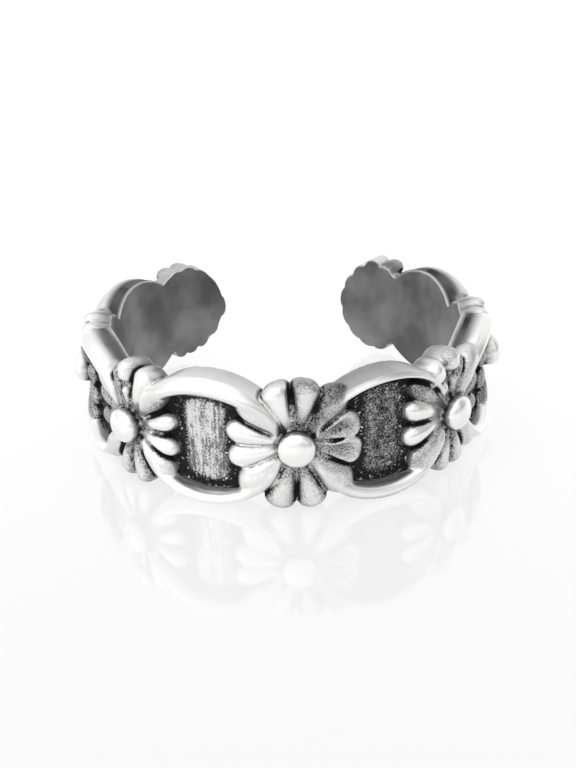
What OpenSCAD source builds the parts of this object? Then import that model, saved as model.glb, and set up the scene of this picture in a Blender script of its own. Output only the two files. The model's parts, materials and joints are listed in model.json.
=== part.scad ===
// Open toe ring, cast in one piece in silver.
// Seven daisies stand round the band. Arched rails join them and frame sunk panels.
// The bore axis is +Z, the ring lies on its side on Z = 0, and the middle daisy faces -Y.
// A place on the band is a length along it, a height from its middle plane and a radius.

/* [Band] */
// Inside diameter of the ring
bore_d = 16; // [15.6:0.1:16.4]
// Width of the band along the toe, over the arched rails
band_w = 5.4; // [5.4:0.05:5.6]
// Thickness of the plain band at the floor of a panel
plate_t = 0.75; // [0.65:0.05:0.85]

/* [Daisies] */
// Angle from one daisy to the next round the band
pitch = 47; // [46:0.5:47.5]
// Daisies on each side of the middle one
side_daisies = 3; // [1:1:3]
// Diameter of the domed bead at the heart of a daisy
bead_d = 1.46; // [1.3:0.02:1.6]
// Height of the bead's top above the panel floor
bead_h = 1.34; // [1.2:0.02:1.4]
// Length of a petal that points along the band
side_petal = 2.84; // [2.6:0.02:2.9]
// Length of a petal that points across the band
up_petal = 2.6; // [2.5:0.02:2.6]
// Extra length of the middle daisy's two lower petals
long_petal = 0.16; // [0:0.02:0.16]
// Half the angle between the two petals of a pair
pair_angle = 15; // [14:0.5:16]
// Height of a petal's crest above the panel floor
petal_h = 0.64; // [0.5:0.02:0.7]
// Half width of a petal where it is broadest
petal_w = 0.44; // [0.4:0.01:0.46]

/* [Rails] */
// Half width of a rail at the middle of a panel
rail_w = 0.32; // [0.28:0.01:0.36]
// Half length of a rail's arch along the band
rail_a = 3.18; // [3:0.02:3.3]
// Height of a rail's crest above the panel floor
rail_h = 0.75; // [0.6:0.05:0.85]
// Height above the panel floor of the flat rim that carries a rail
rim_h = 0.38; // [0.2:0.02:0.44]

/* [Hidden] */
bore_r = bore_d / 2;
face_r = bore_r + plate_t;
mid_z = band_w / 2;
bead_r = bead_d / 2;
rail_z = band_w / 2 - rail_w;
// Radius at which lengths along the band are measured
lay_r = 9.4;
half_arc = pitch / 2 * PI * lay_r / 180;
// How far the blank reaches inside the bore before it is cut
bore_stock = 0.16;
// Rows of points across the band, from its lower edge to its upper edge
rows = 24;
// Half height of the plain disc under a daisy, and of the one under a daisy at a free end
root_disc = 2.1;
end_disc = 2.2;
end_disc_len = 2.4;
// How much less a free end reaches down than up
end_lift = 0.22;

// A petal from heart to tip: part of its length, then its part of the half width or height
PETAL_WIDE = [[0, 0.3], [0.3, 0.52], [0.55, 0.84], [0.78, 1], [0.9, 0.86], [0.97, 0.5], [1, 0.2]];
PETAL_TALL = [[0, 0.5], [0.3, 0.8], [0.52, 1], [0.8, 0.94], [0.95, 0.6], [1, 0.3]];
// A rail from the middle of a panel to a daisy: turn along its arch, then the same parts
RAIL_WIDE = [[0, 1], [35, 1.05], [58, 1.35], [70, 1.15], [80, 0.7]];
RAIL_TALL = [[0, 1], [50, 0.98], [66, 0.86], [78, 0.6], [86, 0]];
// Lengths from a daisy's centre at which the band's cross section is drawn
COLUMNS = [0, 0.14, 0.36, 0.6, 0.84, 1.08, 1.36, 1.64, 1.92, 2.18, 2.44, 2.66, 2.84, 3.2];
// Petals in one quarter of a daisy: direction in degrees up from the band's run, then length
PETALS = [[pair_angle, side_petal], [90 - pair_angle, up_petal]];
// The same for a quarter at a free end, where slanting petals stand in for the rails
END_PETALS = [[9, 2.64], [35, 2.46], [62, 2.36], [86, 2.54]];
WAY = 0;
REACH = 1;
// Length at which a free end is closed off, just short of the tips of its foremost petals
end_len = (END_PETALS[0][REACH] - petal_w) * cos(END_PETALS[0][WAY]) + 0.85 * petal_w;

// Point on the band from a length along it, a height and a radius
function on_band(a, z, r) =
    let (t = a * 180 / (PI * lay_r))
    [r * sin(t), -r * cos(t), mid_z + z];

// Round cross section of a petal or rail, from its middle line at 0 to its foot at 1
function arch(s) = abs(s) < 1 ? pow(1 - s * s, 0.7) : 0;

// Half height of an ellipse at a distance from its middle
function ellipse_h(d, half_len, half_h) =
    abs(d) < half_len ? half_h * sqrt(1 - pow(d / half_len, 2)) : 0;

// Rise of a petal above the panel floor, at a place x, y from its daisy's centre
function petal_rise(x, y, way, reach) =
    let (along = (x * cos(way) + y * sin(way)) / reach,
         across = (y * cos(way) - x * sin(way)) / (petal_w * lookup(along, PETAL_WIDE)))
    along > 0 && along < 1 ? petal_h * lookup(along, PETAL_TALL) * arch(across) : 0;

// Rise of a panel's two rails and their rims, at a place x, y from the panel's centre
function rail_rise(x, y) =
    let (part = norm([x / rail_a, y / rail_z]),
         slope = norm([x / pow(rail_a, 2), y / pow(rail_z, 2)]),
         turn = atan2(abs(x) / rail_a, abs(y) / rail_z),
         off = slope > 0 ? (part - 1) * part / slope : -rail_a,
         rail = rail_h * arch(off / (rail_w * lookup(turn, RAIL_WIDE))))
    lookup(turn, RAIL_TALL) * (off > 0 ? max(rail, rim_h) : rail);

function bead_rise(d) =
    d < bead_r ? bead_h - bead_r + sqrt(pow(bead_r, 2) - pow(d, 2)) : 0;

// Change in length of the lower petals: longer on the middle daisy, shorter at the free ends
function lower_change(n, z, way, free) =
    z >= 0 ? 0 : free ? -end_lift * sin(way) : n == 0 && way > 45 ? long_petal : 0;

// Petals of the quarter that holds a place: z is its height on daisy n
function quarter(n, z, free) =
    [for (p = free ? END_PETALS : PETALS)
        [p[WAY], p[REACH] + lower_change(n, z, p[WAY], free)]];

// Rise of the whole relief at length x from daisy n, and height z
function relief(n, x, z, free) =
    max(concat([bead_rise(norm([x, z])), free ? 0 : rail_rise(half_arc - abs(x), z)],
               [for (p = quarter(n, z, free)) petal_rise(abs(x), abs(z), p[WAY], p[REACH])]));

// Height of a petal's round tip over the middle plane, at length x from the daisy's centre
function tip_h(x, way, reach) =
    let (d = reach - petal_w, off = abs(x) - d * cos(way))
    abs(off) < petal_w ? d * sin(way) + ellipse_h(off, petal_w, petal_w) : 0;

// Height of the band's scalloped outline on one side of the middle plane
function outline_h(n, x, z, free) =
    let (tips = [for (p = quarter(n, z, free)) tip_h(x, p[WAY], p[REACH])],
         end_h = end_disc - (z < 0 ? end_lift : 0))
    max(concat(tips, free ? [ellipse_h(x, end_disc_len, end_h)]
                          : [ellipse_h(x, root_disc, root_disc),
                             ellipse_h(half_arc - abs(x), rail_a + rail_w, band_w / 2)]));

// Rows crowd a little towards the edges, where the rails curve away
function row_part(j) = let (w = 2 * j / rows - 1) w * (1.2 - 0.2 * w * w);

// Closed cross section of the band at length x from the daisy numbered n
function band_section(n, x, free) =
    let (a = n * 2 * half_arc + x,
         top = outline_h(n, x, 1, free), low = outline_h(n, x, -1, free),
         heights = [for (j = [rows:-1:0]) row_part(j) * (2 * j > rows ? top : low)])
    concat([on_band(a, top, bore_r - bore_stock)],
           [for (z = heights) on_band(a, z, face_r + relief(n, x, z, free))],
           [on_band(a, -low, bore_r - bore_stock)]);

// The casting before its bore is cut: one closed surface through all the cross sections
module blank() {
    free_cols = concat([for (x = COLUMNS) if (x < end_len - 0.05) x], [end_len]);
    last = len(free_cols) - 1;
    sections = concat(
        [for (i = [last:-1:1]) band_section(-side_daisies, -free_cols[i], true)],
        [for (n = [-side_daisies:side_daisies - 1]) each concat(
            [for (x = COLUMNS) band_section(n, x, false)],
            [band_section(n, half_arc, false)],
            [for (i = [len(COLUMNS) - 1:-1:1]) band_section(n + 1, -COLUMNS[i], false)])],
        [for (x = free_cols) band_section(side_daisies, x, x > 0)]);
    n = len(sections);
    m = len(sections[0]);
    ends = [(sections[0][0] + sections[0][m - 1] + sections[0][rows / 2] * 2) / 4,
            (sections[n - 1][0] + sections[n - 1][m - 1] + sections[n - 1][rows / 2] * 2) / 4];
    near_cap = [for (j = [0:m - 1]) [n * m, j, (j + 1) % m]];
    far_cap = [for (j = [0:m - 1]) [n * m + 1, (n - 1) * m + (j + 1) % m, (n - 1) * m + j]];
    points = concat([for (s = sections) each s], ends);
    radii = [for (p = points) norm([p.x, p.y])];
    // Each four-sided patch is folded along its more level diagonal
    sides = [for (i = [0:n - 2], j = [0:m - 1])
        let (p = i * m + j, q = i * m + (j + 1) % m)
        each abs(radii[p] - radii[q + m]) < abs(radii[q] - radii[p + m])
            ? [[p, p + m, q + m], [p, q + m, q]] : [[p, p + m, q], [q, p + m, q + m]]];
    polyhedron(points = points, faces = concat(near_cap, sides, far_cap), convexity = 8);
}

// The open ring: the casting with its true round bore
module ring() {
    color("silver")
    difference() {
        blank();
        translate([0, 0, -1]) cylinder(r = bore_r, h = band_w + 2, $fn = 96);
    }
}

ring();
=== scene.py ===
"""Open toe ring in cast, blackened silver: seven daisies joined by arched rails."""

from __future__ import annotations

import enum
import json
import logging
import math
from collections.abc import Callable
from dataclasses import dataclass, replace

import bmesh
import bpy
from mathutils import Euler, Matrix, Vector
from mathutils.bvhtree import BVHTree

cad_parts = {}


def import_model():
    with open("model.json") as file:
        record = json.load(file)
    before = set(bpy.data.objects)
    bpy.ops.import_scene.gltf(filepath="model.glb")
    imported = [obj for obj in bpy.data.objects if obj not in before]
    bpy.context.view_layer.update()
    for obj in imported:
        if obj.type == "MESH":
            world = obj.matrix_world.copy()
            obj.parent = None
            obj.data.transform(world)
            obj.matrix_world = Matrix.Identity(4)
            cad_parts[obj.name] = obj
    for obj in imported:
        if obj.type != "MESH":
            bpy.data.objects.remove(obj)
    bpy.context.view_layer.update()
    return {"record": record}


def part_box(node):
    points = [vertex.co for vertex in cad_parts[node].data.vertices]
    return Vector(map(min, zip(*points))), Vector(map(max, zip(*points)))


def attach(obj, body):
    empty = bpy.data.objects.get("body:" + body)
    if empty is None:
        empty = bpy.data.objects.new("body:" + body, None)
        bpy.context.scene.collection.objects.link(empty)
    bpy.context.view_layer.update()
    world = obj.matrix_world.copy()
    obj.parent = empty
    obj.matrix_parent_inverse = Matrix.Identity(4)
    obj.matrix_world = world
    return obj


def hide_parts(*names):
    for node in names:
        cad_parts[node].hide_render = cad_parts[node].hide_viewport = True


LOG = logging.getLogger("toe_ring")
MM = 0.001
TINY = 1e-6
Span = tuple[float, float]
Triple = tuple[float, float, float]


@dataclass(frozen=True)
class Ramp:
    """An even S curve that climbs from 0 at its low value to 1 at its high one."""

    low: float
    high: float

    def at(self, value: float) -> float:
        """Gives the curve's height, 0 below its low value and 1 above its high one."""
        part = min(1.0, max(0.0, (value - self.low) / (self.high - self.low)))
        return part * part * (3.0 - 2.0 * part)


def upright_wall(out: float, up: float) -> tuple[float, float]:
    """Turns the lower half of a round section into straight walls with a flat foot.

    Args:
        out: sideways place on the unit circle.
        up: height on the unit circle, below 0.

    Returns:
        The sideways place, 1 at the walls, and how far down the wall it is, up to 1.
    """
    foot = 0.8
    if -up < foot:
        return math.copysign(1.0, out), -up / foot
    return out / math.sqrt(1.0 - foot * foot), 1.0


class Form(enum.Enum):
    """The forms that the casting is made of, each with its own finish."""

    PLATE = 0
    WALL = 1
    RAIL = 2
    BEAD = 3
    PETAL = 4


@dataclass(frozen=True)
class Layout:
    """The band laid out flat, in millimetres: along it, across it, and out from the panel floor."""

    bore_r: float
    band_w: float
    plate_t: float = 0.75
    lay_r: float = 9.4
    pitch: float = math.radians(47.0)

    @property
    def spacing(self) -> float:
        """Length along the band from one daisy to the next."""
        return self.pitch * self.lay_r

    @property
    def face_r(self) -> float:
        """Radius of the panel floors."""
        return self.bore_r + self.plate_t

    @property
    def foot(self) -> float:
        """Height of the bore's wall on the flat band."""
        return -self.plate_t

    def wrap(self, flat: Vector) -> Vector:
        """Turns a place on the flat band into a place on the round ring.

        Args:
            flat: length along the band, height from its middle, rise above the panel floor.

        Returns:
            The place in millimetres, in the CAD's frame.
        """
        turn = flat.x / self.lay_r
        radius = self.face_r + flat.z
        return Vector((radius * math.sin(turn), -radius * math.cos(turn), self.band_w / 2 + flat.y))

    def unwrap(self, place: Vector) -> Vector:
        """Turns a place on the round ring back into its place on the flat band.

        Args:
            place: the place in millimetres, in the CAD's frame.

        Returns:
            Length along the band, height from its middle, rise above the panel floor.
        """
        turn = math.atan2(place.x, -place.y)
        rise = math.hypot(place.x, place.y) - self.face_r
        return Vector((turn * self.lay_r, place.z - self.band_w / 2, rise))


class Casting:
    """Collects the forms of the ring as closed shells on the flat band."""

    LEVEL: float = 0.9
    FLOOR_SLACK: float = 0.02

    def __init__(self, layout: Layout) -> None:
        """Starts an empty casting.

        Args:
            layout: the band's sizes.
        """
        self.layout = layout
        self.mesh = bmesh.new()
        self.form = self.mesh.faces.layers.int.new("form")
        self.polish = self.mesh.faces.layers.float.new("polish")
        self.tarnish = self.mesh.faces.layers.float.new("tarnish")

    def take(
        self, shell: bmesh.types.BMesh, form: Form, polish: Callable[[Vector], float],
        tarnish: float = 0.0,
    ) -> None:
        """Takes a finished shell in and frees it.

        Args:
            shell: the closed shell, in place on the flat band.
            form: what the shell is. A flat floor inside a wall counts as plate.
            polish: gives 0 for as cast and grainy, up to 1 for polished, at a place on the shell.
            tarnish: how much less polished the shell is half way down its outer side.
        """
        kinds = shell.faces.layers.int.new("form")
        rubbed = shell.faces.layers.float.new("polish")
        dulled = shell.faces.layers.float.new("tarnish")
        for face in shell.faces:
            middle = face.calc_center_median()
            level = abs(face.normal.z) > self.LEVEL and abs(middle.z) < self.FLOOR_SLACK
            floor = form is Form.WALL and level
            face[kinds] = Form.PLATE.value if floor else form.value
            face[rubbed] = 0.0 if floor else polish(middle)
            face[dulled] = 0.0 if floor else tarnish
        mesh = bpy.data.meshes.new("shell")
        shell.to_mesh(mesh)
        shell.free()
        self.mesh.from_mesh(mesh)
        bpy.data.meshes.remove(mesh)


@dataclass(frozen=True)
class Petal:
    """A petal: narrow at the heart, broad and round at its tip.

    The ramps from neck to curl_run go by parts of the petal's length, end_rub by height.
    """

    way: float = 0.0
    reach: float = 1.0
    wide: float = 0.42
    tall: float = 0.62
    polish: float = 0.6
    lobe: bool = False
    hollow: float = 0.0
    broadest: float = 0.72
    taper: float = 1.0
    rubbed_from: float = 0.48
    rub_fade: float = 0.14
    rubbing: float = 0.6
    curl: float = 0.22
    cap: float = 0.0
    start: float = 0.5
    belly: float = 0.16
    sunk: float = 0.25
    heart_tall: float = 0.62
    tip_power: float = 0.8
    fold_narrows: float = 0.25
    fold_sinks: float = 0.8
    dish_width: float = 0.8
    dish_lip: float = 0.45
    neck: Ramp = Ramp(0.0, 0.04)
    climb: Ramp = Ramp(0.1, 0.6)
    fold_in: Ramp = Ramp(0.44, 0.56)
    fold_out: Ramp = Ramp(0.56, 0.68)
    cap_out: Ramp = Ramp(0.52, 0.72)
    dish_run: Ramp = Ramp(0.1, 1.1)
    curl_run: Ramp = Ramp(0.6, 1.0)
    end_rub: Ramp = Ramp(-0.4, 0.25)
    segments: int = 28
    rings: int = 26

    def at(
        self, way: float, reach: float, wide: float | None = None, polish: float | None = None
    ) -> Petal:
        """Makes one petal of this sort.

        Args:
            way: its direction in degrees, up from the band's run.
            reach: its length from the daisy's centre.
            wide: its own half width, where it isn't the sort's.
            polish: its own polish, where it isn't the sort's.

        Returns:
            The petal.
        """
        own_wide = self.wide if wide is None else wide
        own_polish = self.polish if polish is None else polish
        return replace(self, way=way, reach=reach, wide=own_wide, polish=own_polish)

    def _round_tip(self, part: float) -> float:
        """Part of the full width that the round tip leaves at a part of the length."""
        over = max(0.0, part - self.broadest) / (1.0 - self.broadest)
        return math.sqrt(max(0.0, 1.0 - over * over))

    def _profile(self, part: float, shoulder: float) -> tuple[float, float]:
        """Gives the petal's size across at a part of its length.

        Args:
            part: part of the petal's length, from the heart.
            shoulder: how near the place is to where the petal is broadest, up to 1.

        Returns:
            The half width, and the height of the ridge above the panel floor.
        """
        fold = self.cap * self.fold_in.at(part) * (1.0 - self.fold_out.at(part))
        stem = shoulder ** self.taper
        stem += (1.0 - stem) * self.cap * self.cap_out.at(part)
        tip, neck = self._round_tip(part), self.neck.at(part)
        width = self.wide * stem * (1.0 - self.fold_narrows * fold) * tip * neck
        climb = self.heart_tall + (1.0 - self.heart_tall) * self.climb.at(part)
        rise = climb * tip ** self.tip_power * neck * (1.0 - self.fold_sinks * fold)
        return width, self.belly + (self.tall - self.belly) * rise

    def _shape(self, unit: Vector, foot: float) -> Vector:
        """Moves a point of the unit ball to its place on the petal, which runs along +X.

        Args:
            unit: the point on the ball, with the petal's run along its Z axis.
            foot: height that a lobe's walls reach down to.

        Returns:
            The point on the petal.
        """
        part = (unit.z + 1.0) / 2.0
        turn = math.atan2(unit.y, unit.x)
        along = self.start + part * (self.reach - self.start)
        broad = self.start + self.broadest * (self.reach - self.start)
        width, crest = self._profile(part, min(1.0, along / broad))
        if turn >= 0.0:
            across = math.cos(turn)
            dish = self.hollow * max(0.0, 1.0 - (across / self.dish_width) ** 2)
            dish *= math.sin(math.pi * self.dish_run.at(part))
            arch = math.sin(turn) ** (self.dish_lip if self.hollow else 1.0)
            return Vector((along, width * across, self.belly + (crest - self.belly) * arch - dish))
        across, down = upright_wall(math.cos(turn), math.sin(turn))
        depth = foot if self.lobe else -self.sunk
        along -= self.curl * (down * self.curl_run.at(part)) ** 2
        return Vector((along, width * across, self.belly + (depth - self.belly) * down))

    def _polish_at(self, place: Vector) -> float:
        """Gives the petal's own polish, more along its crest and less low on its end.

        Args:
            place: a place on the flat band.

        Returns:
            The polish there.
        """
        rubbed = Ramp(self.rubbed_from, self.rubbed_from + self.rub_fade).at(place.z)
        own = self.polish * (self.end_rub.at(place.z) if self.curl else 1.0)
        return own + (1.0 - own) * self.rubbing * rubbed

    def build(self, casting: Casting, centre: Vector) -> None:
        """Adds the petal to the casting.

        Args:
            casting: where the shell goes.
            centre: the daisy's centre on the flat band.
        """
        shell = bmesh.new()
        verts = bmesh.ops.create_uvsphere(
            shell, u_segments=self.segments, v_segments=self.rings, radius=1.0
        )["verts"]
        for vert in verts:
            vert.co = self._shape(vert.co, casting.layout.foot)
        turned = Matrix.Rotation(math.radians(self.way), 3, "Z")
        bmesh.ops.rotate(shell, cent=(0, 0, 0), matrix=turned, verts=verts)
        bmesh.ops.translate(shell, vec=centre, verts=verts)
        casting.take(shell, Form.PETAL, self._polish_at)


@dataclass(frozen=True)
class Bead:
    """The domed bead at a daisy's heart, on a short drum."""

    radius: float = 0.73
    drum: float = 0.8
    top: float = 1.18
    # Below 0, the drum's polish paints its side dark: painted shade round the bead's foot.
    drum_polish_and_shade: float = -0.5
    drum_depth: float = 1.2
    waist: float = 0.86
    foot_part: float = 0.95
    rub_below: float = 0.2
    rub_above: float = 0.02
    segments: int = 48
    rings: int = 32

    def _shape(self, unit: Vector) -> Vector:
        """Moves a point of the unit ball to its place on the bead.

        Args:
            unit: the point on the ball.

        Returns:
            The point on the dome, or on the drum for the ball's lower half.
        """
        x, y, z = unit
        if z >= 0.0:
            dome = self.drum + z * (self.top - self.drum)
            return Vector((x * self.radius, y * self.radius, dome))
        waist = self.waist + (1.0 - self.waist) * math.sqrt(max(0.0, 1.0 - z * z))
        rim = max(TINY, math.hypot(x, y))
        spread = waist if z > -self.foot_part else rim
        low = self.drum + self.drum_depth * z
        return Vector((x / rim * spread * self.radius, y / rim * spread * self.radius, low))

    def _polish_at(self, place: Vector) -> float:
        """Gives the drum's polish low down and a full polish on the dome; a polish below 0 paints
        the drum dark as shade.
        """
        rubbed = Ramp(self.drum - self.rub_below, self.drum + self.rub_above).at(place.z)
        return self.drum_polish_and_shade + (1.0 - self.drum_polish_and_shade) * rubbed

    def build(self, casting: Casting, centre: Vector) -> None:
        """Adds the bead to the casting.

        Args:
            casting: where the shell goes.
            centre: the daisy's centre on the flat band.
        """
        shell = bmesh.new()
        verts = bmesh.ops.create_uvsphere(
            shell, u_segments=self.segments, v_segments=self.rings, radius=1.0
        )["verts"]
        for vert in verts:
            vert.co = self._shape(vert.co)
        bmesh.ops.translate(shell, vec=centre, verts=verts)
        casting.take(shell, Form.BEAD, self._polish_at)


@dataclass(frozen=True)
class Daisy:
    """A daisy: its root disc, the low calyx on it, its bead and its petals."""

    number: int
    petals: tuple[Petal, ...]
    shift: float = 0.0
    rise: float = 0.0
    disc_len: float = 2.47
    disc_h: float = 2.15
    disc_rise: float = 0.0
    calyx_r: float = 2.0
    calyx_h: float = 0.42
    root_polish: float = 0.3
    disc_segments: int = 96
    calyx_segments: int = 64
    calyx_rings: int = 24
    bead: Bead = Bead()

    def _add_root(self, casting: Casting, centre: Vector) -> None:
        """Adds the disc through the band's thickness, and the calyx between the petals' hearts.

        Args:
            casting: where the shells go.
            centre: the daisy's centre on the flat band.
        """
        shell, foot = bmesh.new(), casting.layout.foot
        disc = bmesh.ops.create_cone(
            shell, cap_ends=True, segments=self.disc_segments, radius1=1.0, radius2=1.0, depth=-foot
        )["verts"]
        bmesh.ops.scale(shell, vec=(self.disc_len, self.disc_h, 1.0), verts=disc)
        bmesh.ops.translate(shell, vec=(centre.x, self.disc_rise, foot / 2), verts=disc)
        casting.take(shell, Form.PLATE, lambda place: self.root_polish)
        shell = bmesh.new()
        calyx = bmesh.ops.create_uvsphere(
            shell, u_segments=self.calyx_segments, v_segments=self.calyx_rings, radius=1.0
        )["verts"]
        for vert in calyx:
            vert.co.z = math.copysign(math.sqrt(abs(vert.co.z)), vert.co.z)
        bmesh.ops.scale(shell, vec=(self.calyx_r, self.calyx_r, self.calyx_h), verts=calyx)
        bmesh.ops.translate(shell, vec=centre, verts=calyx)
        casting.take(shell, Form.PETAL, lambda place: self.root_polish)

    def build(self, casting: Casting) -> None:
        """Adds the daisy to the casting.

        Args:
            casting: where the shells go.
        """
        along = self.number * casting.layout.spacing + self.shift
        centre = Vector((along, self.rise, 0.0))
        self._add_root(casting, centre)
        self.bead.build(casting, centre)
        for petal in self.petals:
            petal.build(casting, centre)


@dataclass(frozen=True)
class Rail:
    """An arched half-round rail along one edge of a cell.

    The ramps from widen to end_sink go by parts of the rail's sweep, end_dull by length.
    """

    upper: bool
    half_len: float = 3.18
    half_width: float = 0.29
    inset: float = 0.05
    seat: float = 0.3
    sunk: float = 0.2
    crest: float = 0.76
    lift: float = 0.0
    spread: float = 1.15
    end_narrows: float = 0.55
    shoulder_sinks: float = 0.12
    end_sinks: float = 0.2
    end_polish: float = 0.8
    sweep: float = math.radians(78.0)
    widen: Ramp = Ramp(0.35, 0.68)
    narrow: Ramp = Ramp(0.68, 1.0)
    shoulder_sink: Ramp = Ramp(0.4, 0.8)
    end_sink: Ramp = Ramp(0.8, 1.0)
    end_dull: Ramp = Ramp(1.5, 2.1)
    tube_r: float = 0.1
    segments: int = 20
    steps: int = 72

    def _place(self, unit: Vector, half_h: float) -> Vector:
        """Moves a point of the unit arc's tube to its place on the rail.

        Args:
            unit: a point of a thin tube that runs along the unit circle.
            half_h: height of the rail's middle line over the cell's middle.

        Returns:
            The point on the rail, round the cell's centre.
        """
        turn = math.atan2(unit.x, unit.y)
        out = (math.hypot(unit.x, unit.y) - 1.0) / self.tube_r
        up = unit.z / self.tube_r
        part = abs(turn) / self.sweep
        width = self.half_width * (1.0 + (self.spread - 1.0) * self.widen.at(part))
        width *= 1.0 - self.end_narrows * self.narrow.at(part)
        shoulder = self.shoulder_sinks * self.shoulder_sink.at(part)
        crest = self.crest * (1.0 - shoulder - self.end_sinks * self.end_sink.at(part))
        across = Vector((math.sin(turn) / self.half_len, math.cos(turn) / half_h, 0.0)).normalized()
        path = Vector((self.half_len * math.sin(turn), half_h * math.cos(turn), 0.0))
        if up < 0.0:
            out, down = upright_wall(out, up)
            rise = self.seat - down * (self.seat + self.sunk)
        else:
            rise = self.seat + up * (crest - self.seat)
        return path + across * (out * width) + Vector((0.0, 0.0, rise))

    def _unit_tube(self) -> bmesh.types.BMesh:
        """Makes the thin tube along the unit circle that the rail is shaped from.

        Returns:
            The tube, capped at both ends.
        """
        shell = bmesh.new()
        stand = Matrix.Rotation(-self.sweep, 4, "Z").inverted()
        stand = stand @ Matrix.Translation((0.0, 1.0, 0.0))
        stand = stand @ Matrix.Rotation(math.radians(90.0), 4, "Y")
        start = bmesh.ops.create_circle(
            shell, cap_ends=True, segments=self.segments, radius=self.tube_r, matrix=stand
        )["verts"]
        faces = list({face for vert in start for face in vert.link_faces})
        edges = list({edge for face in faces for edge in face.edges})
        bmesh.ops.spin(
            shell, geom=start + edges + faces, cent=(0, 0, 0), axis=(0, 0, -1),
            angle=2.0 * self.sweep, steps=self.steps, use_duplicate=False,
        )
        return shell

    def build(
        self, casting: Casting, centre: Vector, wall: Callable[[Vector], float], tarnish: float
    ) -> None:
        """Adds the rail to the casting.

        Args:
            casting: where the shell goes.
            centre: the cell's centre on the flat band.
            wall: gives the polish of the cell's wall, which the rail's straight sides share.
            tarnish: the wall's tarnish.
        """
        shell = self._unit_tube()
        half_h = casting.layout.band_w / 2 + self.lift - self.half_width - self.inset
        for vert in shell.verts:
            vert.co = self._place(vert.co, half_h)
        if not self.upper:
            bmesh.ops.scale(shell, vec=(1.0, -1.0, 1.0), verts=shell.verts)
        bmesh.ops.translate(shell, vec=centre, verts=shell.verts)
        bmesh.ops.recalc_face_normals(shell, faces=shell.faces)

        def polish(place: Vector) -> float:
            """Gives the wall's polish on the straight sides and more on top, less at the ends."""
            top = 1.0 + (self.end_polish - 1.0) * self.end_dull.at(abs(place.x - centre.x))
            return top if place.z > self.seat else min(top, wall(place))

        casting.take(shell, Form.RAIL, polish, tarnish)


@dataclass(frozen=True)
class PaintedSheen:
    """The painted sheen: a zone of a panel's floor painted bright where it reflects the light,
    measured along the band.
    """

    level: float = 0.15
    middle: float = 0.0
    inner: float = 0.6
    outer: float = 1.15

    def at(self, off: float) -> float:
        """Gives how bright the floor is at a distance from the cell's centre."""
        return self.level * (1.0 - Ramp(self.inner, self.outer).at(abs(off - self.middle)))


@dataclass(frozen=True)
class Cell:
    """An oval cell between two daisies: a raised wall with rails round a sunk panel."""

    number: int
    top: Rail = Rail(upper=True)
    low: Rail = Rail(upper=False)
    # The painted sheen: a bright zone painted on the panel's floor where it reflects the light.
    glow: PaintedSheen = PaintedSheen()
    half_len: float = 3.5
    wall_t: float = 0.36
    wall_h: float = 0.38
    inner_polish: float = 0.4
    outer_polish: float = 1.1
    # Less polish half way down the rim's outer side, which makes it darker there.
    tarnish: float = 1.2
    end_sinks: float = 0.99
    end_sink: Ramp = Ramp(1.9, 2.9)
    polish_climb: Ramp = Ramp(-0.6, 0.35)
    segments: int = 128
    upright_from: float = 0.5
    upright_cuts: int = 16

    def _wall_polish(self, place: Vector) -> float:
        """Gives the rim's polish, from the bore's side to the rail's side."""
        gain = self.outer_polish - self.inner_polish
        return self.inner_polish + gain * self.polish_climb.at(place.z)

    def _add_wall(self, casting: Casting, centre: Vector) -> None:
        """Adds the oval wall with its sunk floor.

        Args:
            casting: where the shell goes.
            centre: the cell's centre on the flat band.
        """
        shell = bmesh.new()
        half_w = casting.layout.band_w / 2
        depth = self.wall_h - casting.layout.foot
        oval = bmesh.ops.create_cone(
            shell, cap_ends=True, segments=self.segments, radius1=1.0, radius2=1.0, depth=depth
        )["verts"]
        bmesh.ops.scale(shell, vec=(self.half_len, half_w, 1.0), verts=oval)
        bmesh.ops.translate(shell, vec=(0.0, 0.0, self.wall_h - depth / 2), verts=oval)
        faces = {face for vert in oval for face in vert.link_faces}
        floor = [f for f in faces if len(f.verts) > 4 and f.calc_center_median().z > 0.0]
        rim = bmesh.ops.inset_region(
            shell, faces=floor, thickness=self.wall_t, use_even_offset=True
        )["faces"]
        sunk = bmesh.ops.extrude_face_region(shell, geom=floor)["geom"]
        bmesh.ops.delete(shell, geom=floor, context="FACES_ONLY")
        low = [item for item in sunk if isinstance(item, bmesh.types.BMVert)]
        bmesh.ops.translate(shell, vec=(0.0, 0.0, -self.wall_h), verts=low)
        for vert in {vert for face in rim for vert in face.verts}:
            vert.co.z *= 1.0 - self.end_sinks * self.end_sink.at(abs(vert.co.x))
        for vert in shell.verts:
            lift = self.top.lift if vert.co.y > 0.0 else self.low.lift
            vert.co.y *= 1.0 + lift / half_w
        bmesh.ops.translate(shell, vec=centre, verts=shell.verts)
        upright = [
            edge for edge in shell.edges
            if abs(edge.verts[0].co.z - edge.verts[1].co.z) > self.upright_from
        ]
        bmesh.ops.subdivide_edges(shell, edges=upright, cuts=self.upright_cuts)
        shell.normal_update()
        casting.take(shell, Form.WALL, self._wall_polish, self.tarnish)

    def build(self, casting: Casting) -> None:
        """Adds the cell to the casting.

        Args:
            casting: where the shells go.
        """
        centre = Vector(((self.number + 0.5) * casting.layout.spacing, 0.0, 0.0))
        self._add_wall(casting, centre)
        for rail in (self.top, self.low):
            rail.build(casting, centre, self._wall_polish, self.tarnish)


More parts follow.
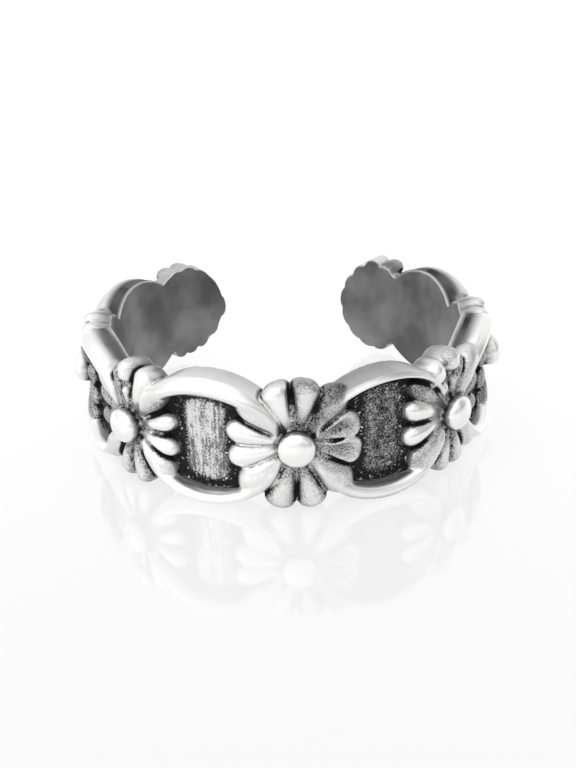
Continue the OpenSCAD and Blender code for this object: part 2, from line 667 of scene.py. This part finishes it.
# The sorts of petal
PEBBLE = Petal(wide=0.5, polish=0.55, tall=0.66, rubbed_from=0.3, rubbing=1.0)
DISHED = Petal(
    wide=0.6, polish=0.12, hollow=0.36, tall=0.7, broadest=0.76, taper=1.6,
    rubbed_from=0.42, rubbing=0.8,
)
LOBE = Petal(
    wide=0.54, polish=0.4, lobe=True, broadest=0.84, tall=0.66, rubbed_from=0.5, rubbing=0.8
)
CAPPED = replace(LOBE, tall=0.7, cap=0.8)
EDGE = Petal(wide=0.56, polish=0.3, lobe=True, broadest=0.84, tall=0.66, curl=0.0)
LEAF = Petal(wide=0.2, polish=0.35, tall=0.5)
ROOT = Petal(wide=0.54, polish=0.7, broadest=0.66, tall=0.7, rubbed_from=0.58)

# The petals of each daisy: direction in degrees, length, then their own half width and polish
FRONT_PETALS = (
    LOBE.at(111, 2.66, 0.57, 0.9), LOBE.at(78, 2.66, 0.58, 0.3),
    PEBBLE.at(166.7, 2.95, 0.54), PEBBLE.at(192.4, 2.89, 0.58),
    DISHED.at(19.5, 2.8), DISHED.at(350.5, 2.78),
    LOBE.at(253, 2.9, 0.68, 0.28), LOBE.at(284.5, 2.88, 0.64, 0.25),
    LEAF.at(128, 2.3, 0.28),
    ROOT.at(141, 3.1, 0.48, 0.8), ROOT.at(48, 3.1, 0.62, 0.05),
    ROOT.at(221, 3.1, 0.7, 0.85), ROOT.at(316, 3.1, 0.72, 0.5),
)
LEFT_PETALS = (
    PEBBLE.at(15, 2.7, 0.42), PEBBLE.at(346, 2.7, 0.42),
    LOBE.at(64, 2.78, 0.56, 0.95), CAPPED.at(90, 2.8, 0.46, 0.8),
    LEAF.at(112, 2.5, 0.32), LEAF.at(165, 2.8, 0.44), LEAF.at(192, 2.8, 0.44),
    LOBE.at(257, 2.6, 0.58, 0.2), LOBE.at(285, 2.7, 0.6, 0.2),
    ROOT.at(40, 2.8, 0.4, 0.2), ROOT.at(137, 3.1),
    ROOT.at(317, 3.1, 0.6, 0.8), ROOT.at(225, 3.1, 0.6),
)
RIGHT_PETALS = (
    PEBBLE.at(163, 2.92, 0.5), PEBBLE.at(190, 2.9, 0.5),
    CAPPED.at(120, 2.75, 0.6, 0.95), CAPPED.at(93, 2.8, 0.56, 0.5),
    LEAF.at(72, 2.4, 0.32), LEAF.at(14, 2.8, 0.44), LEAF.at(347, 2.8, 0.44),
    LOBE.at(255, 2.7, 0.6, 0.2), LOBE.at(282, 2.65, 0.58, 0.2),
    ROOT.at(143, 3.1, 0.46, 0.15), ROOT.at(46, 3.1),
    ROOT.at(222, 3.1, 0.62, 0.5), ROOT.at(312, 3.1, 0.6),
)
PLAIN_PETALS = (
    LEAF.at(14, 2.84, 0.44), LEAF.at(346, 2.84, 0.44),
    LEAF.at(166, 2.84, 0.44), LEAF.at(194, 2.84, 0.44),
    LOBE.at(113, 2.6, 0.46, 0.9), LOBE.at(90, 2.66, 0.44, 0.9),
    LOBE.at(67, 2.6, 0.46, 0.9), LOBE.at(256, 2.6), LOBE.at(284, 2.6),
    ROOT.at(42, 3.1, 0.5, 0.2), ROOT.at(138, 3.1, 0.5, 0.2),
    ROOT.at(224, 3.1, 0.6, 0.2), ROOT.at(316, 3.1, 0.6, 0.2),
)
LEFT_END_PETALS = (
    EDGE.at(178, 2.86, 0.62), EDGE.at(150, 2.7, 0.68), EDGE.at(125, 2.67, 0.66),
    EDGE.at(100, 2.66, 0.6), EDGE.at(76, 2.6, 0.54, 0.4), EDGE.at(208, 2.5, 0.46),
    EDGE.at(236, 2.3, 0.42), EDGE.at(262, 2.22, 0.42), EDGE.at(287, 2.32, 0.46),
    PEBBLE.at(14, 2.84), PEBBLE.at(346, 2.84),
    ROOT.at(44, 3.1), ROOT.at(314, 3.1, 0.56),
)
RIGHT_END_PETALS = (
    EDGE.at(8, 2.52, 0.6), EDGE.at(33, 2.5, 0.52, 0.7), EDGE.at(58, 2.54, 0.5, 0.75),
    EDGE.at(82, 2.64, 0.5, 0.75), LOBE.at(106, 2.6, 0.5), EDGE.at(341, 2.46, 0.62),
    EDGE.at(315, 2.4, 0.6), EDGE.at(289, 2.38, 0.6), EDGE.at(262, 2.36, 0.56),
    PEBBLE.at(166, 2.84), PEBBLE.at(194, 2.84),
    ROOT.at(136, 3.1), ROOT.at(226, 3.1, 0.56),
)

# The daisies and the cells between them, from the left free end to the right one
DAISIES = (
    Daisy(-3, LEFT_END_PETALS, disc_len=2.66, disc_h=2.28, disc_rise=0.25),
    Daisy(
        -2, PLAIN_PETALS, shift=0.35, rise=-0.1,
        bead=Bead(drum=0.85, top=1.33, drum_polish_and_shade=0.3),
    ),
    Daisy(-1, LEFT_PETALS, shift=-0.06),
    Daisy(0, FRONT_PETALS, shift=-0.04, rise=0.13, disc_len=2.4, disc_h=2.38),
    Daisy(1, RIGHT_PETALS, shift=-0.22),
    Daisy(
        2, PLAIN_PETALS, shift=-0.5, rise=-0.1,
        bead=Bead(drum=0.98, top=1.5, drum_polish_and_shade=0.2),
    ),
    Daisy(3, RIGHT_END_PETALS, disc_len=2.36, disc_h=2.22, disc_rise=0.08),
)
BACK_CELL = Cell(number=2, inner_polish=0.2, outer_polish=0.7, tarnish=1.5)
CELLS = (
    replace(BACK_CELL, number=-3),
    Cell(number=-2),
    Cell(
        number=-1, inner_polish=0.5, outer_polish=0.75, tarnish=0.0,
        top=Rail(upper=True, half_width=0.36, lift=0.15),
        low=Rail(upper=False, half_width=0.27),
        # Painted sheen: this panel's floor is painted brightest, where it reflects the light from
        # the front left.
        glow=PaintedSheen(level=1.0, middle=-0.08, inner=0.7, outer=1.2),
    ),
    Cell(
        number=0, wall_t=0.24, wall_h=0.6, inner_polish=0.15, outer_polish=0.4, tarnish=0.0,
        top=Rail(upper=True, half_width=0.14, crest=0.72, lift=0.05),
        low=Rail(upper=False, half_width=0.27),
        # Painted sheen: a weaker bright zone painted on this panel's floor.
        glow=PaintedSheen(level=0.45, middle=0.2, inner=0.9, outer=1.4),
    ),
    Cell(number=1),
    BACK_CELL,
)


@dataclass(frozen=True)
class Closeness:
    """Measures how shut in the places on a surface are.

    Each look starts clear of the surface, leaves out grazing rays and counts far walls less.
    """

    solid: BVHTree
    rays: tuple[Vector, ...]
    clear: float = 0.03
    grazing: float = 0.05
    fading: float = 0.5

    @staticmethod
    def even_rays(count: int) -> tuple[Vector, ...]:
        """Spreads directions evenly over a ball.

        Args:
            count: how many.

        Returns:
            Unit vectors.
        """
        golden = math.pi * (3.0 - math.sqrt(5.0))
        found = []
        for index in range(count):
            z = 1.0 - 2.0 * (index + 0.5) / count
            flat = math.sqrt(1.0 - z * z)
            turn = golden * index
            found.append(Vector((math.cos(turn) * flat, math.sin(turn) * flat, z)))
        return tuple(found)

    def at(self, place: Vector, normal: Vector, reach: float) -> float:
        """Looks round from a place.

        Args:
            place: the place on the surface.
            normal: the surface's normal there.
            reach: how far to look.

        Returns:
            0 for open, 1 for fully shut in.
        """
        start = place + normal * self.clear
        total = blocked = 0.0
        for ray in self.rays:
            facing = ray.dot(normal)
            if facing <= self.grazing:
                continue
            total += facing
            distance = self.solid.ray_cast(start, ray, reach)[3]
            if distance is not None:
                blocked += facing * (1.0 - self.fading * distance / reach)
        return blocked / total


@dataclass(frozen=True)
class Notes:
    """Stores on each vertex of the flat ring what its finish needs to know."""

    cells: tuple[Cell, ...]
    spacing: float
    rays: int = 60
    cavity_reach: float = 1.1
    groove_reach: float = 0.32
    panel_low: float = -0.1
    panel_half: float = 2.1
    grain_climb: Ramp = Ramp(0.05, 0.3)
    bore_facing: Ramp = Ramp(0.3, 0.8)
    bore_depth: Ramp = Ramp(0.3, 0.6)
    broad_rounds: int = 6
    fine_rounds: int = 2

    def _in_a_cell(self, place: Vector) -> bool:
        """Tells whether a place on a flat part of the plate lies within the rails and the cells."""
        last = max(abs(cell.number) for cell in self.cells) * self.spacing
        return place.z > self.panel_low and abs(place.y) < self.panel_half and abs(place.x) < last

    def _painted_sheen_at(self, along: float) -> float:
        """Gives how brightly the panel's floor is painted as a reflection of the light at a length
        along the band.

        Args:
            along: the length, from the front daisy.

        Returns:
            0 for dark, 1 for bright.
        """
        at = along / self.spacing
        number = math.floor(at)
        painted_sheens = {cell.number: cell.glow for cell in self.cells}
        return painted_sheens.get(number, PaintedSheen()).at((at - number - 0.5) * self.spacing)

    def store(self, skin: bmesh.types.BMesh, casting: Casting) -> None:
        """Stores on each vertex how deep it lies and what it is part of.

        Args:
            skin: the fused skin, still flat.
            casting: the forms it was fused from.
        """
        skin.normal_update()
        names = ("cavity", "groove", "glow", "polish", "panel", "grainy", "tarnish", "bore")
        note = {name: skin.verts.layers.float.new(name) for name in names}
        spot = skin.verts.layers.float_vector.new("flat")
        forms = BVHTree.FromBMesh(casting.mesh)
        casting.mesh.faces.ensure_lookup_table()
        closeness = Closeness(BVHTree.FromBMesh(skin), Closeness.even_rays(self.rays))
        for vert in skin.verts:
            face = casting.mesh.faces[forms.find_nearest(vert.co)[2]]
            form = Form(face[casting.form])
            floor = form is Form.PLATE and self._in_a_cell(vert.co)
            inward = self.bore_facing.at(-vert.normal.z) * self.bore_depth.at(-vert.co.z)
            vert[note["polish"]] = face[casting.polish]
            vert[note["tarnish"]] = face[casting.tarnish]
            vert[note["panel"]] = 1.0 if floor else 0.0
            vert[note["grainy"]] = self.grain_climb.at(vert.co.z) if form is Form.PETAL else 0.0
            vert[note["bore"]] = inward
            # Painted sheen: how bright the panel's floor is painted where it reflects the light.
            vert[note["glow"]] = self._painted_sheen_at(vert.co.x)
            vert[note["cavity"]] = closeness.at(vert.co, vert.normal, self.cavity_reach)
            vert[note["groove"]] = closeness.at(vert.co, vert.normal, self.groove_reach)
            vert[spot] = vert.co
        for name in ("polish", "tarnish"):
            self._even_out(skin, note[name], self.broad_rounds)
        for name in ("panel", "grainy"):
            self._even_out(skin, note[name], self.fine_rounds)

    @staticmethod
    def _even_out(skin: bmesh.types.BMesh, layer: bmesh.types.BMLayerItem, rounds: int) -> None:
        """Draws each vertex's value half way to its neighbours' mean.

        Args:
            skin: the skin.
            layer: where the values are.
            rounds: how often.
        """
        for _ in range(rounds):
            even = [
                sum(edge.other_vert(vert)[layer] for edge in vert.link_edges) / len(vert.link_edges)
                for vert in skin.verts
            ]
            for vert, value in zip(skin.verts, even):
                vert[layer] = (vert[layer] + value) / 2.0


@dataclass(frozen=True)
class ToeRing:
    """The whole ring, fused into one body from its forms.

    The fused body is thinned to a number of triangles. Edges that are then too long to carry
    the finish are split again, on the panels' floors and down the outer walls.
    """

    layout: Layout
    daisies: tuple[Daisy, ...] = DAISIES
    cells: tuple[Cell, ...] = CELLS
    voxel: float = 0.058
    soften_rounds: int = 2
    soften_share: float = 0.5
    triangles: int = 142000
    split_rounds: int = 6
    floor_slack: float = 0.03
    floor_edge: float = 0.2
    wall_top: float = -0.1
    wall_edge: float = 0.22

    def build(self) -> bpy.types.Object:
        """Models the ring.

        Returns:
            The finished object, with its finish attributes.
        """
        casting = Casting(self.layout)
        for form in (*self.cells, *self.daisies):
            form.build(casting)
        LOG.info("forms: %d faces", len(casting.mesh.faces))
        fused = self._fuse(casting)
        Notes(self.cells, self.layout.spacing).store(fused, casting)
        for vert in fused.verts:
            vert.co = self.layout.wrap(vert.co) * MM
        mesh = bpy.data.meshes.new("ring_silver")
        for face in fused.faces:
            face.smooth = True
        fused.to_mesh(mesh)
        fused.free()
        casting.mesh.free()
        ring = bpy.data.objects.new("ring_silver", mesh)
        bpy.context.scene.collection.objects.link(ring)
        LOG.info("ring: %d faces", len(mesh.polygons))
        return ring

    def _fuse(self, casting: Casting) -> bmesh.types.BMesh:
        """Fuses the overlapping shells into one closed skin.

        Args:
            casting: the shells.

        Returns:
            The fused skin, still flat.
        """
        skin = self._modified(casting.mesh, "REMESH", {"mode": "VOXEL", "voxel_size": self.voxel})
        for _ in range(self.soften_rounds):
            bmesh.ops.smooth_vert(
                skin, verts=skin.verts, factor=self.soften_share,
                use_axis_x=True, use_axis_y=True, use_axis_z=True,
            )
        for vert in skin.verts:
            vert.co = self.layout.wrap(vert.co)
        share = self.triangles / (2 * len(skin.faces))
        light = self._modified(skin, "DECIMATE", {"ratio": share})
        skin.free()
        for vert in light.verts:
            vert.co = self.layout.unwrap(vert.co)
        for _ in range(self.split_rounds):
            long = [edge for edge in light.edges if self._is_coarse(edge)]
            bmesh.ops.subdivide_edges(light, edges=long, cuts=1, use_single_edge=True)
            split = [face for face in light.faces if len(face.verts) > 3]
            bmesh.ops.triangulate(light, faces=split)
        return light

    def _is_coarse(self, edge: bmesh.types.BMEdge) -> bool:
        """Tells whether an edge of a panel's floor or an outer wall is too long for the finish.

        Args:
            edge: an edge of the thinned skin, on the flat band.

        Returns:
            True where the edge has to be split.
        """
        low, high = sorted(vert.co.z for vert in edge.verts)
        on_floor = low > -self.floor_slack and high < self.floor_slack
        on_wall = low < self.wall_top and high - low > self.wall_edge
        return (on_floor and edge.calc_length() > self.floor_edge) or on_wall

    @staticmethod
    def _modified(
        source: bmesh.types.BMesh, kind: str, settings: dict[str, object]
    ) -> bmesh.types.BMesh:
        """Runs a modifier on a mesh.

        Args:
            source: the mesh, which stays as it is.
            kind: the modifier's type.
            settings: the modifier's attributes.

        Returns:
            The modified mesh.
        """
        mesh = bpy.data.meshes.new("work")
        source.to_mesh(mesh)
        work = bpy.data.objects.new("work", mesh)
        bpy.context.scene.collection.objects.link(work)
        modifier = work.modifiers.new("work", kind)
        for name, value in settings.items():
            setattr(modifier, name, value)
        graph = bpy.context.evaluated_depsgraph_get()
        made = bpy.data.meshes.new_from_object(work.evaluated_get(graph))
        result = bmesh.new()
        result.from_mesh(made)
        bpy.data.objects.remove(work)
        bpy.data.meshes.remove(mesh)
        bpy.data.meshes.remove(made)
        return result


class Socket:
    """A shader value that Python's operators can reckon with."""

    def __init__(self, kit: NodeKit, socket: bpy.types.NodeSocket) -> None:
        """Wraps a node's output.

        Args:
            kit: the tree's kit.
            socket: the output.
        """
        self.kit = kit
        self.socket = socket

    def _math(self, operation: str, first: object, second: object) -> Socket:
        """Adds a Math node."""
        return self.kit.add("ShaderNodeMath", {"operation": operation}, {0: first, 1: second})

    def __add__(self, other: object) -> Socket:
        """Adds."""
        return self._math("ADD", self, other)

    __radd__ = __add__

    def __mul__(self, other: object) -> Socket:
        """Multiplies."""
        return self._math("MULTIPLY", self, other)

    __rmul__ = __mul__

    def __sub__(self, other: object) -> Socket:
        """Subtracts."""
        return self._math("SUBTRACT", self, other)

    def __rsub__(self, other: object) -> Socket:
        """Subtracts from."""
        return self._math("SUBTRACT", other, self)

    def over(self, low: float, high: float) -> Socket:
        """Returns 0 below low, 1 above high and an S curve between."""
        return self.kit.add(
            "ShaderNodeMapRange", {"interpolation_type": "SMOOTHSTEP"},
            {"Value": self, "From Min": low, "From Max": high},
        )

    def stretched(self, by: Triple) -> Socket:
        """Multiplies a place by a number for each axis."""
        return self.kit.add("ShaderNodeVectorMath", {"operation": "MULTIPLY"}, {0: self, 1: by})

    def axis(self, name: str) -> Socket:
        """Takes one axis of a place."""
        return self.kit.add("ShaderNodeSeparateXYZ", None, {"Vector": self}, output=name)


class NodeKit:
    """Adds nodes to a material's tree."""

    def __init__(self, owner: bpy.types.Material | bpy.types.World) -> None:
        """Empties the tree.

        Args:
            owner: the material or world to work in.
        """
        owner.use_nodes = True
        self.tree = owner.node_tree
        self.tree.nodes.clear()

    def add(
        self, kind: str, settings: dict[str, object] | None = None,
        inputs: dict[str | int, object] | None = None, output: str | int = 0,
    ) -> Socket | None:
        """Adds one node.

        Args:
            kind: the node's type.
            settings: attributes, set first.
            inputs: values or sockets by input name or index.
            output: name or index of the output to return.

        Returns:
            The chosen output, or nothing for a node that has none.
        """
        node = self.tree.nodes.new(kind)
        for name, value in (settings or {}).items():
            setattr(node, name, value)
        for name, value in (inputs or {}).items():
            if isinstance(value, Socket):
                self.tree.links.new(value.socket, node.inputs[name])
            else:
                node.inputs[name].default_value = value
        return Socket(self, node.outputs[output]) if len(node.outputs) else None

    def read(self, name: str) -> Socket:
        """Reads a number stored on the ring's vertices."""
        return self.add("ShaderNodeAttribute", {"attribute_name": name}, output="Fac")

    def noise(self, place: Socket, noise: Noise) -> Socket:
        """Adds a noise over a place."""
        return self.add(
            "ShaderNodeTexNoise", None,
            {"Vector": place, "Scale": noise.scale, "Detail": noise.detail},
        )

    def mix(self, part: object, first: object, second: object) -> Socket:
        """Blends two colours.

        Args:
            part: 0 for the first, 1 for the second.
            first: colour or socket.
            second: colour or socket.

        Returns:
            The blended colour.
        """
        def colour(value: object) -> object:
            """Gives a plain colour its alpha."""
            return value if isinstance(value, Socket) else (*value, 1.0)

        return self.add(
            "ShaderNodeMix", {"data_type": "RGBA"},
            {0: part, 6: colour(first), 7: colour(second)}, output=2,
        )


@dataclass(frozen=True)
class Noise:
    """A noise: how many of its grains stand in one unit of length, and how finely they break up."""

    scale: float
    detail: float


@dataclass(frozen=True)
class CastSilver:
    """Sterling silver as cast: blackened low down and rubbed bright on top.

    A span is a pair of values between which a mask goes from 0 to 1.
    """

    bright: Triple = (0.9, 0.9, 0.895)
    etched: Triple = (0.8, 0.8, 0.8)
    grey: Triple = (0.34, 0.34, 0.34)
    dull: Triple = (0.15, 0.15, 0.15)
    worn: Triple = (0.29, 0.29, 0.29)
    satin: Triple = (0.13, 0.13, 0.13)
    black: Triple = (0.012, 0.012, 0.012)
    fine_grain: Noise = Noise(15000.0, 2.0)
    # The next grain only places the painted glints on the panels' floors.
    glint_noise_grain: Noise = Noise(11000.0, 1.0)
    coarse_grain: Noise = Noise(4500.0, 3.0)
    cloud_grain: Noise = Noise(420.0, 3.0)
    streak_grain: Noise = Noise(1.0, 2.0)
    streak_stretch: Triple = (9.0, 1.6, 3.0)
    column_grain: Noise = Noise(1.0, 1.0)
    column_stretch: Triple = (1.7, 0.25, 0.0)
    # Where the rims are made darker half way down their outer side.
    darkening_low: Span = (-0.7, -0.4)
    darkening_high: Span = (-0.3, 0.3)
    darkening_span: Span = (0.0, 0.7)
    cavity_share: float = 0.75
    groove_share: float = 0.95
    oxide_span: Span = (0.13, 0.47)
    pit_span: Span = (0.48, 0.56)
    pit_dark: float = 0.85
    noise_span: Span = (0.3, 0.7)
    cloud_span: Span = (0.35, 0.65)
    floor_span: Span = (0.02, 0.3)
    # The next four shape the painted sheen on the panels' floors.
    zone_span: Span = (0.06, 0.24)
    ragged_span: Span = (0.0, 0.95)
    drawn_span: Span = (0.6, 0.9)
    drawn_share: float = 0.45
    etch_span: Span = (0.46, 0.62)
    # The next four place the painted glints on the panels' floors and along their edges.
    glint_span: Span = (0.57, 0.64)
    edge_glints_start: Span = (0.05, 0.15)
    edge_glints_end: Span = (0.2, 0.3)
    edge_glints_span: Span = (0.5, 0.6)
    roughness: float = 0.3
    specular: float = 0.12
    bump: float = 0.6
    bump_depth: float = 0.00006

    def make(self) -> bpy.types.Material:
        """Makes the material.

        Returns:
            The finished material.
        """
        material = bpy.data.materials.new("cast_silver")
        kit = NodeKit(material)
        spot = Surface(kit, self)
        bore, floor = spot.bore, spot.panel.over(*self.floor_span)
        cast, sunk = self._cast_dark(spot), self._floor_dark(spot)
        dark = (cast + (sunk - cast) * floor) * (1.0 - bore)
        inner = kit.mix(spot.cloud.over(*self.noise_span), self.satin, self.worn)
        plain = kit.mix(spot.cloud.over(*self.cloud_span), self.dull, self.grey)
        raised = kit.mix(floor, kit.mix(spot.polish, plain, self.bright), self.etched)
        clean = kit.mix(bore, raised, inner)
        # Painted highlight: a thin bright line painted along the bore's edge, where the faces turn
        # from the bore to the outside.
        painted_edge_highlight = bore * (1.0 - bore) * 1.6
        colour = kit.mix(dark, kit.mix(painted_edge_highlight, clean, self.bright), self.black)
        relief = (spot.grain * 0.5 + spot.coarse * 0.5) * (spot.sandy * (1.0 - bore) + bore * 0.08)
        normal = kit.add(
            "ShaderNodeBump", None,
            {"Strength": self.bump, "Distance": self.bump_depth, "Height": relief}, output="Normal",
        )
        shader = kit.add(
            "ShaderNodeBsdfPrincipled", None,
            {
                "Base Color": colour, "Metallic": 1.0 - dark,
                "Roughness": self.roughness + spot.rough_cast * 0.1 + dark * 0.35 + bore * 0.12,
                "Specular IOR Level": self.specular, "Normal": normal,
            },
        )
        kit.add("ShaderNodeOutputMaterial", None, {"Surface": shader})
        return material

    def _cast_dark(self, spot: Surface) -> Socket:
        """Darkens hollows and grooves, the pits of grainy petals, the rims half way down their
        outer side, and the bead's drums as painted shade.

        Args:
            spot: what the shader knows of a place.

        Returns:
            0 for clean metal, 1 for black.
        """
        fine = spot.grain.over(*self.noise_span) - 0.5
        speckle = spot.patchy * (spot.sandy * 0.2 + 0.05) + fine * spot.sandy * 0.25
        shut_in = spot.cavity * self.cavity_share + spot.groove * self.groove_share
        oxide = (shut_in + speckle).over(*self.oxide_span)
        pits = (spot.grain * 0.85 + spot.coarse * 0.15).over(*self.pit_span) * spot.sandy
        # Polish below 0 darkens: the bead's drums, as painted shade, and the rims half way down
        # their outer side.
        patches = spot.cloud.over(*self.cloud_span) * 0.8 + 0.2
        tarnish = (0.0 - spot.polish).over(*self.darkening_span) * patches
        return 1.0 - (1.0 - oxide) * (1.0 - pits * self.pit_dark) * (1.0 - tarnish)

    def _floor_dark(self, spot: Surface) -> Socket:
        """Darkens a panel's floor, apart from its painted sheen zone and the painted glints in its
        grain.

        Args:
            spot: what the shader knows of a place.

        Returns:
            0 for clean metal, 1 for black.
        """
        # Painted sheen: the bright zone painted on the floor where it reflects the light, kept off
        # the edges by the walls, with ragged edges and streaks in its grain.
        zone = spot.glow * (1.0 - (spot.cavity + spot.patchy * 0.08).over(*self.zone_span))
        ragged = (zone + spot.patchy * 0.5 * zone * (1.0 - zone)).over(*self.ragged_span)
        drawn_out = spot.glow.over(*self.drawn_span) * self.drawn_share
        uneven = spot.grain * 0.75 + spot.coarse * 0.25
        etch = uneven + (spot.streak - uneven) * drawn_out + ragged * 0.06
        etch = etch + (spot.column - 0.5) * 0.5 * ragged
        # Painted glints: sparse bright specks painted in the floor's grain, and more along its
        # edges by the walls.
        glints = spot.glint_noise.over(*self.glint_span)
        lit = etch.over(*self.etch_span) * 0.7 + glints * (1.0 - ragged) + 0.2 * ragged * ragged
        near_wall = spot.cavity.over(*self.edge_glints_start) - spot.cavity.over(*self.edge_glints_end)
        edge_glints = glints * near_wall * spot.coarse.over(*self.edge_glints_span)
        return 1.0 - (0.02 + ragged * 0.98) * lit - edge_glints * 0.7


class Surface:
    """What the shader knows of a place: the finish stored there and the noises over it."""

    def __init__(self, kit: NodeKit, silver: CastSilver) -> None:
        """Adds the nodes that read it.

        Args:
            kit: the material's kit.
            silver: the finish, which gives the noises' grains and where the tarnish lies.
        """
        place = kit.add("ShaderNodeTexCoord", output="Object")
        flat = kit.add("ShaderNodeAttribute", {"attribute_name": "flat"}, output="Vector")
        self.cavity = kit.read("cavity")
        self.groove = kit.read("groove")
        # The painted sheen on the panels' floors.
        self.glow = kit.read("glow")
        self.panel = kit.read("panel")
        self.bore = kit.read("bore")
        self.grain = kit.noise(place, silver.fine_grain)
        # Noise for the painted glints.
        self.glint_noise = kit.noise(place, silver.glint_noise_grain)
        self.coarse = kit.noise(place, silver.coarse_grain)
        self.cloud = kit.noise(place, silver.cloud_grain)
        self.streak = kit.noise(flat.stretched(silver.streak_stretch), silver.streak_grain)
        self.column = kit.noise(flat.stretched(silver.column_stretch), silver.column_grain)
        height = flat.axis("Z")
        half_way = kit.read("tarnish") * height.over(*silver.darkening_low)
        half_way = half_way * (1.0 - height.over(*silver.darkening_high))
        self.polish = kit.read("polish") - half_way
        self.rough_cast = 1.0 - self.polish
        self.sandy = self.rough_cast * kit.read("grainy")
        self.patchy = self.coarse.over(*silver.noise_span) - 0.5


@dataclass(frozen=True)
class WhiteTable:
    """Smooth white table top that glows a little, so that the ring's shadow stays pale."""

    tone: Triple = (0.12, 0.12, 0.12)
    glow: Triple = (1.0, 1.0, 1.0)
    glow_strength: float = 0.76
    roughness: float = 0.06
    ior: float = 1.6

    def make(self) -> bpy.types.Material:
        """Makes the material.

        Returns:
            The finished material.
        """
        material = bpy.data.materials.new("white_table")
        kit = NodeKit(material)
        shader = kit.add(
            "ShaderNodeBsdfPrincipled", None,
            {
                "Base Color": (*self.tone, 1.0), "Roughness": self.roughness, "IOR": self.ior,
                "Emission Color": (*self.glow, 1.0), "Emission Strength": self.glow_strength,
            },
        )
        kit.add("ShaderNodeOutputMaterial", None, {"Surface": shader})
        return material


@dataclass(frozen=True)
class SoftLight:
    """A soft light: where it shines from, how wide it is in degrees, and how strong."""

    name: str
    place: Triple
    width: float
    strength: float

    def hang(self) -> None:
        """Adds the light to the scene."""
        data = bpy.data.lights.new(self.name, "SUN")
        data.angle = math.radians(self.width)
        data.energy = self.strength
        lamp = bpy.data.objects.new(self.name, data)
        lamp.rotation_euler = (-Vector(self.place)).to_track_quat("-Z", "Y").to_euler()
        bpy.context.scene.collection.objects.link(lamp)


@dataclass(frozen=True)
class Studio:
    """White table, soft light and the camera, which stands a distance in millimetres away."""

    focus_px: float = 968.4
    image_px: tuple[int, int] = (576, 768)
    ring_px: tuple[float, float] = (286.8, 357.3)
    distance: float = 45.9
    elevation: float = math.radians(22.88)
    azimuth: float = math.radians(-1.9)
    roll: float = math.radians(-1.74)
    sensor: float = 36.0
    clip: tuple[float, float] = (0.001, 10.0)
    table_r: float = 1.5
    table_segments: int = 96
    lights: tuple[SoftLight, ...] = (
        SoftLight("over", (-0.35, -0.5, 1.0), 100.0, 0.85),
        SoftLight("left", (-1.0, -0.5, 0.45), 36.0, 0.25),
        SoftLight("right", (0.9, -0.8, 0.5), 30.0, 0.1),
    )

    def build(self, target: Vector) -> None:
        """Sets the whole studio up round the ring.

        Args:
            target: the ring's middle, in metres.
        """
        self._add_camera(target)
        self._lay_table()
        for light in self.lights:
            light.hang()
        self._add_sky()

    def _add_camera(self, target: Vector) -> None:
        """Sets the camera up as the photograph was taken.

        Args:
            target: the ring's middle, in metres.
        """
        side = Vector((math.cos(self.azimuth), math.sin(self.azimuth), 0.0))
        level = Vector((side.y, -side.x, 0.0)) * math.cos(self.elevation)
        back = level + Vector((0, 0, math.sin(self.elevation)))
        up = back.cross(side)
        right = side * math.cos(self.roll) + up * math.sin(self.roll)
        above = -side * math.sin(self.roll) + up * math.cos(self.roll)
        turned = Matrix((right, above, back)).transposed()
        off_x = (self.ring_px[0] - self.image_px[0] / 2) / self.focus_px
        off_y = (self.ring_px[1] - self.image_px[1] / 2) / self.focus_px
        turned = turned @ Euler((math.atan(off_y), math.atan(off_x), 0.0)).to_matrix()
        data = bpy.data.cameras.new("camera")
        data.sensor_fit = "HORIZONTAL"
        data.sensor_width = self.sensor
        data.lens = self.focus_px / self.image_px[0] * self.sensor
        data.clip_start, data.clip_end = self.clip
        camera = bpy.data.objects.new("camera", data)
        stand = Matrix.Translation(target + back * self.distance * MM)
        camera.matrix_world = stand @ turned.to_4x4()
        bpy.context.scene.collection.objects.link(camera)
        bpy.context.scene.camera = camera

    def _lay_table(self) -> None:
        """Lays the white table that the ring stands on."""
        disc = bmesh.new()
        bmesh.ops.create_circle(
            disc, cap_ends=True, segments=self.table_segments, radius=self.table_r
        )
        mesh = bpy.data.meshes.new("table")
        disc.to_mesh(mesh)
        disc.free()
        mesh.materials.append(WhiteTable().make())
        table = bpy.data.objects.new("table", mesh)
        bpy.context.scene.collection.objects.link(table)

    def _add_sky(self) -> None:
        """Makes the surroundings: a white backdrop behind the ring and a dim room before it."""
        world = bpy.data.worlds.new("studio")
        bpy.context.scene.world = world
        kit = NodeKit(world)
        way = kit.add("ShaderNodeTexCoord", output="Generated")
        behind = way.axis("Y").over(-0.15, 0.45)
        right = way.axis("X").over(0.0, 0.8)
        low = (0.0 - way.axis("Z")).over(-0.5, 0.1)
        room = 0.9 - right * 0.4 - low * 0.2
        glow = room + (1.0 - room) * behind
        white = (1.0, 1.0, 1.0, 1.0)
        background = kit.add("ShaderNodeBackground", None, {"Color": white, "Strength": glow})
        kit.add("ShaderNodeOutputWorld", None, {"Surface": background})
        bpy.context.scene.view_settings.view_transform = "Standard"


def main() -> None:
    """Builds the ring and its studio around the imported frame."""
    logging.basicConfig(level=logging.INFO, format="%(name)s: %(message)s")
    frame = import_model()
    low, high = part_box("ring")
    bore = frame["record"]["mounts"][0]["dims"]
    layout = Layout(bore_r=bore["r_mm"], band_w=(high.z - low.z) / MM)
    ring = ToeRing(layout).build()
    ring.data.materials.append(CastSilver().make())
    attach(ring, "root")
    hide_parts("ring")
    Studio().build(Vector((0.0, 0.0, high.z / 2)))


if __name__ == "__main__":
    main()
